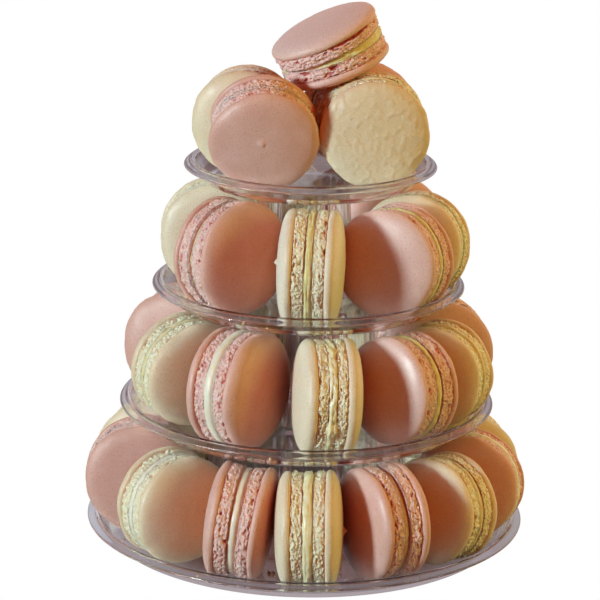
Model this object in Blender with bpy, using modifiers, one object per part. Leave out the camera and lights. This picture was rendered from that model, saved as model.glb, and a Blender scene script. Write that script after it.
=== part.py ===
"""Macaron tower: four clear moulded plates stacked on their own hollow hubs, filled with macarons.

Metres, +Z up, origin at the centre of the base on the surface that the tower stands on.
Azimuths are degrees seen from above: 0 is the front (-Y) and they grow towards +X.
"""
import math
import random
from collections import namedtuple

import bpy
from mathutils import Matrix, Vector

# ---------------------------------------------------------------- driving dimensions
MM = 0.001
GAP = 0.3 * MM                      # clearance left between pieces that rest on each other

# The four plates, from the bottom up
PLATE_RADII = [90.0 * MM, 76.6 * MM, 63.5 * MM, 51.0 * MM]
HUB_RADII = [41.5 * MM, 28.8 * MM, 17.2 * MM, None]     # at half height; the top plate has none
TIER_PITCH = 49.3 * MM              # from one plate's floor to the next one's
FLOOR_THICKNESS = 1.2 * MM
WALL_THICKNESS = 1.1 * MM
WALL_HEIGHT = 7.3 * MM              # floor to the top of the sloping wall
CREST_HEIGHT = 8.0 * MM             # floor to the top of the rolled rim
LIP_HEIGHT = 5.4 * MM               # floor to the turned-down outer edge
FLOOR_INSET = 9.5 * MM              # how far inside the lip each step of the rim lies
WALL_INSET = 4.6 * MM
CREST_INSET = 3.4 * MM
LIP_INSET = 1.0 * MM
LIP_SLOPE = 0.2 * MM                # how much higher the lip's outer edge is than its inner one
WALL_SLANT = 0.8 * MM               # the wall's underside starts this much further out
HUB_TAPER = 1.5 * MM                # radius gained or lost from half height to either end
PLATE_STEPS = 32

# A macaron's outline, as shares of its thickness (height above the middle) and of its radius
MACARON_STEPS = 14
DOME_TOP = (0.50, 0.0)
DOME_SLOPE = (0.43, 0.55)
DOME_SHOULDER = (0.345, 0.87)
SHELL_EDGE = (0.22, 1.0)
FILLING_WAIST = 0.955               # radius share of the filling between the two shells
SHELL_SHRINK = 0.025                # the second shell is up to this much smaller
BACK_TURN = 3.0                     # degrees by which the macarons at the back stray
BACK_SHRINK = 0.8 * MM              # how much smaller the ones at the back may be

ROSE = "rose"
VANILLA = "vanilla"

# One macaron on edge: where it stands on its plate, how its face is turned away from the
# spoke it stands on, how far its axis leans up, and its size in millimetres
Standing = namedtuple("Standing", "azimuth radius turn lean diameter thickness flavour")

STANDING = [
    [   # bottom plate
        Standing(-108.0, 66.5, -4, -3, 46.5, 26.0, VANILLA),
        Standing(-82.5, 68.0, 6, 3, 46.0, 26.0, ROSE),
        Standing(-50.5, 66.9, 5, 1, 44.4, 27.3, VANILLA),
        Standing(-22.0, 66.0, -13, -6, 45.3, 26.4, ROSE),
        Standing(1.6, 67.1, 3, 1, 45.5, 27.3, VANILLA),
        Standing(27.7, 66.5, 1, 0, 46.2, 26.1, ROSE),
        Standing(53.8, 68.0, 4, -6, 43.4, 25.9, VANILLA),
        Standing(77.8, 68.0, 0, -8, 45.0, 25.4, ROSE),
        Standing(101.0, 67.0, 0, -3, 45.0, 26.0, VANILLA),
    ],
    [   # second plate
        Standing(-106.3, 54.5, 0, 4, 46.0, 26.0, ROSE),
        Standing(-70.1, 51.6, -14, -6, 44.1, 26.2, VANILLA),
        Standing(-30.5, 52.8, 0, 1, 47.2, 27.9, ROSE),
        Standing(8.6, 53.5, 2, -2, 46.2, 27.1, VANILLA),
        Standing(44.8, 54.0, 1, -4, 44.2, 26.7, ROSE),
        Standing(73.2, 55.3, 6, -3, 42.6, 24.8, VANILLA),
        Standing(102.7, 54.0, 5, 0, 46.5, 26.0, ROSE),
    ],
    [   # third plate
        Standing(-106.5, 40.5, -19, -1, 44.5, 26.0, VANILLA),
        Standing(-50.8, 39.9, -4, 2, 45.7, 25.9, ROSE),
        Standing(1.3, 41.0, 5, -1, 46.1, 26.6, VANILLA),
        Standing(51.2, 43.2, -11, -3, 44.5, 26.1, ROSE),
        Standing(86.5, 42.5, 15, -9, 43.5, 24.5, VANILLA),
        Standing(130.0, 41.5, 16, 5, 46.0, 25.5, ROSE),
    ],
    [   # top plate
        Standing(-43.4, 27.0, 44, -18, 43.7, 25.5, ROSE),
        Standing(62.9, 27.4, -32, 1, 44.9, 26.1, VANILLA),
        Standing(138.0, 28.5, 23, -1, 44.5, 26.0, ROSE),
        Standing(-106.0, 27.0, -10, 1, 43.0, 25.5, VANILLA),
    ],
]

# The rest of each ring, at the back: how many more fill the space that is left
Filler = namedtuple("Filler", "count radius diameter thickness first_flavour")
BACK = [
    Filler(5, 67.0, 45.0, 26.0, ROSE),
    Filler(3, 53.0, 45.0, 26.0, VANILLA),
    Filler(1, 40.0, 45.0, 26.0, VANILLA),
    Filler(0, 0.0, 0.0, 0.0, ROSE),
]

# The macaron lying tilted on top of the four that stand on the top plate
LYING_PLACE = Vector((7.0 * MM, 5.0 * MM, 52.4 * MM))   # its middle, above the top plate's floor
LYING_TILT_TOWARDS = -76.0
LYING_TILT = 23.5
LYING_DIAMETER = 45.0
LYING_THICKNESS = 24.0


# ---------------------------------------------------------------- scene, collection, materials
def clear_scene():
    """Remove every object that the file starts with."""
    for old in list(bpy.data.objects):
        bpy.data.objects.remove(old, do_unlink=True)


def new_collection(name):
    """Return a new collection in the scene."""
    collection = bpy.data.collections.new(name)
    bpy.context.scene.collection.children.link(collection)
    return collection


def new_material(name, colour, roughness, alpha=1.0):
    """Return a Principled BSDF material."""
    material = bpy.data.materials.new(name)
    material.use_nodes = True
    shader = material.node_tree.nodes["Principled BSDF"]
    shader.inputs["Base Color"].default_value = (*colour, 1.0)
    shader.inputs["Roughness"].default_value = roughness
    shader.inputs["Metallic"].default_value = 0.0
    shader.inputs["Alpha"].default_value = alpha
    return material


# ---------------------------------------------------------------- shapes
def turned(name, profile, steps, material, collection):
    """Return an object turned about its own Z from a profile of (radius, height) points.

    The points run from the top, down the outer side, to the bottom.
    """
    mesh = bpy.data.meshes.new(name)
    points = [(radius, 0.0, height) for radius, height in profile]
    edges = [(i, i + 1) for i in range(len(points) - 1)]
    mesh.from_pydata(points, edges, [])
    mesh.materials.append(material)
    piece = bpy.data.objects.new(name, mesh)
    collection.objects.link(piece)
    screw = piece.modifiers.new("turn", "SCREW")
    screw.axis = "Z"
    screw.angle = math.tau
    screw.steps = steps
    screw.render_steps = steps
    screw.use_merge_vertices = True
    screw.merge_threshold = 0.00001
    screw.use_smooth_shade = True
    return piece


def plate_profile(radius, hub_radius):
    """Return the outline of one plate: its hub, floor, sloping wall and rolled rim, all thin-walled.

    Heights are above the floor that the macarons stand on.
    """
    under = -FLOOR_THICKNESS
    rim_top = [
        (radius - FLOOR_INSET, 0.0),
        (radius - WALL_INSET, WALL_HEIGHT),
        (radius - CREST_INSET, CREST_HEIGHT),
        (radius, LIP_HEIGHT),
    ]
    rim_under = [
        (radius - LIP_INSET, LIP_HEIGHT - LIP_SLOPE),
        (radius - CREST_INSET, CREST_HEIGHT - WALL_THICKNESS),
        (radius - FLOOR_INSET + WALL_SLANT, under),
    ]
    if hub_radius is None:
        return [(0.0, 0.0)] + rim_top + rim_under + [(0.0, under)]
    hub_top = TIER_PITCH - FLOOR_THICKNESS - GAP
    narrow = hub_radius - HUB_TAPER
    wide = hub_radius + HUB_TAPER
    hub_outside = [(0.0, hub_top), (narrow, hub_top), (wide, 0.0)]
    hub_inside = [
        (wide - WALL_THICKNESS, under),
        (narrow - WALL_THICKNESS, hub_top - WALL_THICKNESS),
        (0.0, hub_top - WALL_THICKNESS),
    ]
    return hub_outside + rim_top + rim_under + hub_inside


def macaron_profile(diameter, thickness, second_shell):
    """Return the outline of a macaron whose second shell has `second_shell` of the first's radius."""
    radius = 0.5 * diameter
    shell = [DOME_TOP, DOME_SLOPE, DOME_SHOULDER, SHELL_EDGE]
    upper = [(share * radius, height * thickness) for height, share in shell]
    lower = [(share * radius * second_shell, -height * thickness) for height, share in reversed(shell)]
    return upper + [(FILLING_WAIST * radius, 0.0)] + lower


def facing(outward_azimuth):
    """Return the level direction that points out along an azimuth."""
    angle = math.radians(outward_azimuth)
    return Vector((math.sin(angle), -math.cos(angle), 0.0))


def disc_rotation(axis):
    """Return the rotation that lays local Z along `axis` and turns local X to the lowest point."""
    side = Vector((0.0, 0.0, 1.0)).cross(axis).normalized()
    down = side.cross(axis)
    return Matrix((down, axis.cross(down), axis)).transposed()


def lowest_reach(profile, lean):
    """Return how far a leaning turned piece reaches below its own middle."""
    return max(radius * math.cos(lean) + abs(height * math.sin(lean)) for radius, height in profile)


# ---------------------------------------------------------------- sub-parts
def make_plates(collection, material):
    """Build the four plates; return the empties at the middles of their floors."""
    floors = []
    for tier, (radius, hub_radius) in enumerate(zip(PLATE_RADII, HUB_RADII)):
        floor = bpy.data.objects.new(f"floor_{tier + 1}", None)
        floor.location.z = FLOOR_THICKNESS + tier * TIER_PITCH
        collection.objects.link(floor)
        plate = turned(f"plate_{tier + 1}", plate_profile(radius, hub_radius), PLATE_STEPS,
                       material, collection)
        plate.parent = floor
        floors.append(floor)
    return floors


def fill_the_back(standing, filler, stray):
    """Return the macarons that close a ring, evenly spaced between its last and its first."""
    last = standing[-1].azimuth
    step = (standing[0].azimuth + 360.0 - last) / (filler.count + 1)
    flavours = [filler.first_flavour, VANILLA if filler.first_flavour == ROSE else ROSE]
    ring = []
    for i in range(filler.count):
        ring.append(Standing(
            last + (i + 1) * step,
            filler.radius,
            stray.uniform(-BACK_TURN, BACK_TURN),
            stray.uniform(-BACK_TURN, BACK_TURN),
            filler.diameter - stray.uniform(0.0, BACK_SHRINK) / MM,
            filler.thickness - stray.uniform(0.0, BACK_SHRINK) / MM,
            flavours[i % 2],
        ))
    return ring


def stand_on_edge(name, place, floor, material, collection, stray):
    """Build one macaron on edge on a plate's floor."""
    shrink = 1.0 - stray.uniform(0.0, SHELL_SHRINK)
    profile = macaron_profile(place.diameter * MM, place.thickness * MM, shrink)
    macaron = turned(name, profile, MACARON_STEPS, material, collection)
    outward = facing(place.azimuth)
    along = facing(place.azimuth + 90.0)
    turn = math.radians(place.turn)
    lean = math.radians(place.lean)
    level_axis = math.cos(turn) * along + math.sin(turn) * outward
    axis = math.cos(lean) * level_axis + math.sin(lean) * Vector((0.0, 0.0, 1.0))
    macaron.rotation_euler = disc_rotation(axis).to_euler()
    macaron.location = outward * place.radius * MM
    macaron.location.z = GAP + lowest_reach(profile, lean)
    macaron.parent = floor
    return macaron


def lay_on_top(name, floor, material, collection):
    """Build the macaron that lies tilted on the ones of the top plate."""
    profile = macaron_profile(LYING_DIAMETER * MM, LYING_THICKNESS * MM, 1.0)
    macaron = turned(name, profile, MACARON_STEPS, material, collection)
    tilt = math.radians(LYING_TILT)
    axis = math.sin(tilt) * facing(LYING_TILT_TOWARDS) + math.cos(tilt) * Vector((0.0, 0.0, 1.0))
    macaron.rotation_euler = disc_rotation(axis).to_euler()
    macaron.location = LYING_PLACE
    macaron.parent = floor
    return macaron


def main():
    """Build the whole tower."""
    clear_scene()
    tower = new_collection("macaron_tower")
    clear = new_material("clear_plastic", (0.90, 0.92, 0.94), 0.05, alpha=0.35)
    shells = {
        ROSE: new_material("rose_macaron", (0.72, 0.42, 0.33), 0.55),
        VANILLA: new_material("vanilla_macaron", (0.78, 0.66, 0.40), 0.60),
    }
    stray = random.Random(11)
    floors = make_plates(tower, clear)
    for tier, floor in enumerate(floors):
        ring = STANDING[tier] + fill_the_back(STANDING[tier], BACK[tier], stray)
        for number, place in enumerate(ring, start=1):
            name = f"macaron_{tier + 1}_{number:02d}_{place.flavour}"
            stand_on_edge(name, place, floor, shells[place.flavour], tower, stray)
    lay_on_top("macaron_on_top_rose", floors[-1], shells[ROSE], tower)


main()
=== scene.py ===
"""Looks of a macaron tower: clear moulded plates on hollow hubs, and almond macarons on edge.

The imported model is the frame. Every plate and every macaron is made anew in the place of its CAD
node, at full detail: ribbed hubs and rolled rims, smooth shells, porous feet, cream and crumbs.
Metres, +Z up. Azimuths are degrees seen from above: 0 is the front (-Y), growing towards +X.
"""
import logging
import math
import random
from dataclasses import dataclass, field, replace
from enum import Enum

import bpy
from mathutils import Matrix, Vector


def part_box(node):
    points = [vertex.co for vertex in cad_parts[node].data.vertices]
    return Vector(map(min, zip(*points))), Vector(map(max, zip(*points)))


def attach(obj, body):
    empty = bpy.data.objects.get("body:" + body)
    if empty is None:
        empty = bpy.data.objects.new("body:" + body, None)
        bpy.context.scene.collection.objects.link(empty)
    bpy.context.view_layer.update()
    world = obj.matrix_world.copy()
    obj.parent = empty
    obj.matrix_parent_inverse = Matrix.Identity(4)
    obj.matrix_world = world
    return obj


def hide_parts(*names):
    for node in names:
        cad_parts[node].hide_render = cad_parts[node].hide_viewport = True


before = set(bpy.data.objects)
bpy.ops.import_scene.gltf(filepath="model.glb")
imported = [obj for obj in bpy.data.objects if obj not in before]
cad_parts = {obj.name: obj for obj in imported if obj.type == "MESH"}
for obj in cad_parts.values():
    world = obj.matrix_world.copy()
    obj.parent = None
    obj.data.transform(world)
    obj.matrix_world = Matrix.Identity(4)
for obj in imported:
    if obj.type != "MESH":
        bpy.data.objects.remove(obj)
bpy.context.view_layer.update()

LOG = logging.getLogger("macaron_tower")
MM = 0.001
UP = Vector((0.0, 0.0, 1.0))
Colour = tuple[float, float, float]
Profile = list[tuple[float, float]]
# what is left of a food's red, green and blue in the light that it passes on to its neighbours
PASSED_ON: Colour = (0.94, 0.44, 0.20)


class Flavour(Enum):
    """The two kinds of macaron on the tower."""
    ROSE = "rose"
    VANILLA = "vanilla"


class Layer(Enum):
    """The layers of a macaron, as the numbers that its faces carry."""
    SHELL = 0.0
    FOOT = 1.0
    CREAM = 2.0


class Cream(Enum):
    """The fillings that show between the shells."""
    BUTTER = "butter"
    WHITE = "white"
    LEMON = "lemon"
    PALE_LEMON = "pale lemon"


# ------------------------------------------------------------------------------ node graphs
class Field:
    """A value inside a node tree. Plain arithmetic with it adds Math nodes."""

    def __init__(self, graph: "Graph", socket: bpy.types.NodeSocket) -> None:
        """Wrap an output socket of a graph."""
        self.graph = graph
        self.socket = socket

    def __add__(self, other: "Value") -> "Field":
        """Return the sum."""
        return self.graph.math("ADD", self, other)

    def __sub__(self, other: "Value") -> "Field":
        """Return the difference."""
        return self.graph.math("SUBTRACT", self, other)

    def __rsub__(self, other: "Value") -> "Field":
        """Return a plain number less this value."""
        return self.graph.math("SUBTRACT", other, self)

    def __mul__(self, other: "Value") -> "Field":
        """Return the product."""
        return self.graph.math("MULTIPLY", self, other)

    def __truediv__(self, other: "Value") -> "Field":
        """Return the quotient."""
        return self.graph.math("DIVIDE", self, other)


Value = Field | bpy.types.NodeSocket | float | tuple | Vector


class Graph:
    """A node tree under construction, with short ways to add and wire nodes."""

    def __init__(self, tree: bpy.types.NodeTree) -> None:
        """Start from an existing geometry or shader tree."""
        self.tree = tree

    def node(self, kind: str, inputs: dict[str | int, Value] | None = None,
             **settings: str | bool) -> bpy.types.Node:
        """Add a node.

        Args:
            kind: the node's type name.
            inputs: values by the name or the number of the input.
            **settings: properties of the node itself.

        Returns:
            The new node.
        """
        made = self.tree.nodes.new(kind)
        for name, value in settings.items():
            setattr(made, name, value)
        for key, value in (inputs or {}).items():
            self.feed(made.inputs[key], value)
        return made

    def out(self, kind: str, inputs: dict[str | int, Value] | None = None,
            output: str | int = 0, **settings: str | bool) -> Field:
        """Add a node and return one of its outputs.

        Args:
            kind: the node's type name.
            inputs: values by the name or the number of the input.
            output: the name or the number of the output.
            **settings: properties of the node itself.

        Returns:
            The output's value.
        """
        return Field(self, self.node(kind, inputs, **settings).outputs[output])

    def feed(self, socket: bpy.types.NodeSocket, value: Value) -> None:
        """Wire a value into an input, or set the input's own number, vector or colour.

        Args:
            socket: the input.
            value: what it takes; a colour may leave out its alpha.
        """
        if isinstance(value, Field):
            value = value.socket
        if isinstance(value, bpy.types.NodeSocket):
            self.tree.links.new(value, socket)
        else:
            plain_colour = socket.type == "RGBA" and len(value) == 3
            socket.default_value = (*value, 1.0) if plain_colour else value

    def math(self, operation: str, *values: Value) -> Field:
        """Return the result of a Math node."""
        return self.out("ShaderNodeMath", dict(enumerate(values)), operation=operation)

    def vector(self, operation: str, *values: Value) -> Field:
        """Add a Vector Math node.

        Args:
            operation: what it does.
            *values: what it takes.

        Returns:
            The vector that it gives, or its number where it gives one.
        """
        output = "Value" if operation in ("LENGTH", "DOT_PRODUCT") else "Vector"
        return self.out("ShaderNodeVectorMath", dict(enumerate(values)), output,
                        operation=operation)

    def scaled(self, vector: Value, share: Value) -> Field:
        """Return a vector times a number."""
        return self.out("ShaderNodeVectorMath", {0: vector, "Scale": share}, "Vector",
                        operation="SCALE")

    def ramp(self, value: Value, low: Value, high: Value, to_low: float = 0.0,
             to_high: float = 1.0) -> Field:
        """Return a value mapped from one range to another, clamped and eased at both ends.

        Args:
            value: what is mapped.
            low: where the source range starts.
            high: where it ends.
            to_low: the result at its start.
            to_high: the result at its end.

        Returns:
            The mapped value.
        """
        return self.out("ShaderNodeMapRange", {
            "Value": value, "From Min": low, "From Max": high, "To Min": to_low, "To Max": to_high,
        }, "Result", interpolation_type="SMOOTHSTEP", clamp=True)

    def noise(self, place: Value, size: float, detail: float = 2.0, seed: Value = 0.0,
              output: int = 0) -> Field:
        """Return smooth noise whose lumps are about `size` metres across.

        Args:
            place: the coordinates to read.
            size: the size of a lump, in metres.
            detail: how many finer layers are added.
            seed: which of the patterns.
            output: 0 for one number from 0 to 1, 1 for three.

        Returns:
            The noise.
        """
        return self.out("ShaderNodeTexNoise", {
            "Vector": place, "W": seed, "Scale": 1.0 / size, "Detail": detail,
        }, output, noise_dimensions="4D")

    def drift(self, place: Value, size: float, detail: float, seed: Value = 0.0) -> Field:
        """Return a noise vector about zero, from about -0.5 to 0.5 each way.

        Args:
            place: the coordinates to read.
            size: the size of a lump, in metres.
            detail: how many finer layers are added.
            seed: which of the patterns.

        Returns:
            The vector.
        """
        return self.vector("SUBTRACT", self.noise(place, size, detail, seed, 1),
                           (0.5, 0.5, 0.5))

    def cells(self, place: Value, size: float) -> Field:
        """Return the distance to the nearest of scattered points, in cells of `size` metres."""
        return self.out("ShaderNodeTexVoronoi", {"Vector": place, "Scale": 1.0 / size}, "Distance")

    def split(self, vector: Value) -> tuple[Field, ...]:
        """Return a vector's three numbers."""
        outputs = self.node("ShaderNodeSeparateXYZ", {0: vector}).outputs
        return tuple(Field(self, socket) for socket in outputs)

    def joined(self, x: Value = 0.0, y: Value = 0.0, z: Value = 0.0) -> Field:
        """Return a vector made from three numbers."""
        return self.out("ShaderNodeCombineXYZ", {0: x, 1: y, 2: z})

    def mix(self, share: Value, first: Value, second: Value, blend: str = "MIX") -> Field:
        """Return two colours mixed by a share.

        Args:
            share: how much of the second colour is taken, from 0 to 1.
            first: the colour at share 0.
            second: the colour at share 1.
            blend: the way in which the second colour is laid on the first.

        Returns:
            The mixed colour.
        """
        return self.out("ShaderNodeMix", {0: share, 6: first, 7: second}, 2, data_type="RGBA",
                        blend_type=blend, clamp_factor=True)


class ShapeTree(Graph):
    """A Geometry Nodes tree with named inputs."""

    def __init__(self, name: str) -> None:
        """Start an empty tree that takes and gives geometry.

        Args:
            name: the tree's name.
        """
        super().__init__(bpy.data.node_groups.new(name, "GeometryNodeTree"))
        faces = self.tree.interface
        faces.new_socket("Geometry", in_out="INPUT", socket_type="NodeSocketGeometry")
        faces.new_socket("Geometry", in_out="OUTPUT", socket_type="NodeSocketGeometry")
        self.entry = self.tree.nodes.new("NodeGroupInput")
        self.exit = self.tree.nodes.new("NodeGroupOutput")

    @property
    def start(self) -> Field:
        """The geometry that the tree is given."""
        return self.given("Geometry")

    def given(self, name: str) -> Field:
        """Return one of the tree's inputs by its name."""
        return Field(self, self.entry.outputs[name])

    def ask(self, name: str, kind: str = "Float") -> Field:
        """Add a named input and return it."""
        self.tree.interface.new_socket(name, in_out="INPUT", socket_type=f"NodeSocket{kind}")
        return self.given(name)

    def place(self) -> Field:
        """Return the position of each point."""
        return self.out("GeometryNodeInputPosition")

    def normal(self) -> Field:
        """Return the outward direction of the surface at each point."""
        return self.out("GeometryNodeInputNormal")

    def write(self, geometry: Value, name: str, value: Value, domain: str = "POINT") -> Field:
        """Store a named number on a geometry.

        Args:
            geometry: the shape.
            name: the attribute's name.
            value: the number at each point or face.
            domain: what carries it, "POINT" or "FACE".

        Returns:
            The shape with the number on it.
        """
        return self.out("GeometryNodeStoreNamedAttribute", {
            "Geometry": geometry, "Name": name, "Value": value,
        }, data_type="FLOAT", domain=domain)

    def moved(self, geometry: Value, offset: Value) -> Field:
        """Return a geometry with every point moved by a vector."""
        return self.out("GeometryNodeSetPosition", {"Geometry": geometry, "Offset": offset})

    def placed(self, geometry: Value, shift: Value, turn: Value = (0.0, 0.0, 0.0)) -> Field:
        """Return a whole geometry turned and then shifted."""
        return self.out("GeometryNodeTransform", {
            "Geometry": geometry, "Translation": shift, "Rotation": turn})

    def joined_up(self, *parts: Field) -> Field:
        """Join several geometries.

        Args:
            *parts: the geometries.

        Returns:
            All of them as one.
        """
        whole = self.node("GeometryNodeJoinGeometry")
        for part in parts:
            self.tree.links.new(part.socket, whole.inputs[0])
        return Field(self, whole.outputs[0])

    def turned(self, first: int, rows: int, steps: Value, radius: Value = 1.0,
               height: Value = 1.0, base: Value = 0.0) -> Field:
        """Turn a run of the starting mesh's points about Z into a closed mesh.

        The points hold a radius share in X and a height share in Z, from the bottom pole, out
        and up the outer side, to the top pole.

        Args:
            first: the number of the run's first point.
            rows: how many points the run has.
            steps: how many steps go round.
            radius: what a radius share of 1 measures.
            height: what a height share of 1 measures.
            base: the height at share 0.

        Returns:
            The mesh, its seam and poles merged.
        """
        grid = self.out("GeometryNodeMeshGrid", {
            "Size X": 1.0, "Size Y": 1.0, "Vertices X": self.math("ADD", steps, 1.0),
            "Vertices Y": rows})
        across, along, _ = self.split(self.place())
        turn = (across + 0.5) * math.tau
        row = self.math("ROUND", along * (rows - 1) + (0.5 * (rows - 1) + first))
        point = self.out("GeometryNodeSampleIndex", {
            "Geometry": self.start, "Value": self.place(), "Index": row,
        }, "Value", data_type="FLOAT_VECTOR", domain="POINT")
        wide, _, tall = self.split(point)
        reach = wide * radius
        where = self.joined(reach * self.math("COSINE", turn), reach * self.math("SINE", turn),
                            tall * height + base)
        shape = self.out("GeometryNodeSetPosition", {"Geometry": grid, "Position": where})
        return self.out("GeometryNodeMergeByDistance", {
            "Geometry": shape, "Distance": 0.002 * MM})

    def finish(self, geometry: Field, materials: dict[float, Field]) -> None:
        """End the tree: realize, smooth, and give each layer's faces their material.

        Args:
            geometry: the whole shape, its faces marked with a "layer" number.
            materials: the material for each layer number.
        """
        shape = self.out("GeometryNodeSetShadeSmooth", {"Geometry": geometry})
        shape = self.out("GeometryNodeRealizeInstances", {"Geometry": shape})
        layer = self.out("GeometryNodeInputNamedAttribute", {"Name": "layer"}, "Attribute",
                         data_type="FLOAT")
        for number, material in materials.items():
            chosen = self.out("FunctionNodeCompare", {
                "A": layer, "B": number, "Epsilon": 0.1,
            }, data_type="FLOAT", operation="EQUAL")
            shape = self.out("GeometryNodeSetMaterial", {
                "Geometry": shape, "Selection": chosen, "Material": material})
        self.feed(self.exit.inputs[0], shape)

    def bake(self, name: str, start: bpy.types.Mesh, place: Matrix,
             **values: float | Vector | bpy.types.Material) -> bpy.types.Object:
        """Run the tree on a mesh and return the result as a plain object at the origin.

        Args:
            name: the name of the new piece.
            start: the mesh that the tree works on.
            place: where the result goes in the frame.
            **values: the tree's inputs by name, with underscores for spaces.

        Returns:
            The finished piece, linked to the scene, without modifiers.
        """
        maker = bpy.data.objects.new(f"{name}_maker", start)
        bpy.context.scene.collection.objects.link(maker)
        modifier = maker.modifiers.new("shape", "NODES")
        modifier.node_group = self.tree
        sockets = {item.name: item.identifier for item in self.tree.interface.items_tree
                   if item.in_out == "INPUT"}
        for key, value in values.items():
            modifier[sockets[key.replace("_", " ")]] = value
        view = bpy.context.evaluated_depsgraph_get()
        mesh = bpy.data.meshes.new_from_object(
            maker.evaluated_get(view), preserve_all_data_layers=True, depsgraph=view)
        maker.modifiers.remove(modifier)
        bpy.data.objects.remove(maker, do_unlink=True)
        mesh.transform(place)
        mesh.name = name
        piece = bpy.data.objects.new(name, mesh)
        bpy.context.scene.collection.objects.link(piece)
        return piece


class FinishTree(Graph):
    """The shader tree of one material."""

    def __init__(self, name: str) -> None:
        """Start a material with one Principled shader.

        Args:
            name: the material's name.
        """
        self.material = bpy.data.materials.new(name)
        self.material.use_nodes = True
        super().__init__(self.material.node_tree)
        self.shader = self.tree.nodes["Principled BSDF"]
        self.end = self.tree.nodes["Material Output"]
        self.place = self.out("ShaderNodeTexCoord", output="Object")

    def attribute(self, name: str) -> Field:
        """Return a number that the mesh carries."""
        return self.out("ShaderNodeAttribute", output="Fac", attribute_name=name,
                        attribute_type="GEOMETRY")

    def bump(self, height: Field, depth: float, strength: float = 1.0,
             under: Field | None = None) -> Field:
        """Roughen the surface's normals.

        Args:
            height: the relief, from 0 to 1.
            depth: how deep the relief is, in metres.
            strength: how much of it is used.
            under: the normals that it is laid on, or None for the smooth surface.

        Returns:
            The new normals.
        """
        inputs = {"Height": height, "Distance": depth, "Strength": strength}
        if under is not None:
            inputs["Normal"] = under
        return self.out("ShaderNodeBump", inputs)

    def passed_on(self, colour: Field) -> Field:
        """Return a colour that is deeper in the light which it passes on to its neighbours."""
        again = self.out("ShaderNodeLightPath", output="Is Diffuse Ray")
        return self.mix(again, colour, self.mix(1.0, colour, PASSED_ON, "MULTIPLY"))

    def set(self, **values: Value) -> bpy.types.Material:
        """Set or wire the shader's inputs.

        Args:
            **values: what each input takes, by its name, with underscores for spaces.

        Returns:
            The material.
        """
        for key, value in values.items():
            self.feed(self.shader.inputs[key.replace("_", " ")], value)
        return self.material

    def blend(self, share: Value, other: bpy.types.Node) -> None:
        """End the material with another shader mixed into its Principled one.

        Args:
            share: how much of the other shader is taken, from 0 to 1.
            other: the other shader's node.
        """
        both = self.out("ShaderNodeMixShader", {
            0: share, 1: self.shader.outputs[0], 2: other.outputs[0]})
        self.feed(self.end.inputs["Surface"], both)


# ------------------------------------------------------------------------------ finishes
@dataclass(frozen=True)
class ShellFinish:
    """The baked skin of a shell: mottled, finely speckled, satin, blistered where lumpy."""
    name: str
    plain: Colour
    deep: Colour
    pale: Colour
    baked: Colour
    speck: Colour
    patch_size: float = 11.0 * MM
    grain_size: float = 0.55 * MM
    speck_spacing: float = 1.9 * MM
    blister_size: float = 2.8 * MM
    blister_height: float = 0.26 * MM

    def material(self) -> bpy.types.Material:
        """Wire the material's nodes.

        Returns:
            The material.
        """
        g = FinishTree(self.name)
        patch = g.noise(g.place, self.patch_size, 3.0)
        tone = patch + g.attribute("tone") * 0.5
        colour = g.mix(g.ramp(tone, 0.30, 0.72), self.plain, self.deep)
        colour = g.mix(g.attribute("paleness"), colour, self.pale)
        edge = g.ramp(g.attribute("rim") + g.noise(g.place, 5.0 * MM) * 0.12, 0.94, 1.10)
        colour = g.mix(edge * 0.40, colour, self.baked)
        grain = g.noise(g.place, self.grain_size, 3.0)
        colour = g.mix(g.ramp(grain, 0.42, 0.72, 0.0, 0.30), colour, self.speck)
        specks = g.cells(g.place, self.speck_spacing)
        colour = g.mix(g.ramp(specks, 0.08, 0.17, 0.50, 0.0), colour, self.speck)
        skin = g.bump(g.noise(g.place, 1.6 * MM, 3.0), 0.09 * MM, 0.6)
        skin = g.bump(grain, 0.035 * MM, 0.7, skin)
        blister = g.ramp(g.noise(g.place, self.blister_size, 0.0), 0.45, 0.85) * g.ramp(
            g.attribute("lumps"), 0.25 * MM, 0.60 * MM)
        skin = g.bump(blister, self.blister_height, 1.0, skin)
        rough = g.ramp(patch, 0.3, 0.7, 0.48, 0.58) - g.attribute("gloss") * 0.20
        return g.set(Base_Color=g.passed_on(colour), Roughness=rough, Normal=skin,
                     Specular_IOR_Level=0.40, Subsurface_Weight=0.08,
                     Subsurface_Radius=(1.0, 0.45, 0.25), Subsurface_Scale=1.4 * MM)


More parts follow.
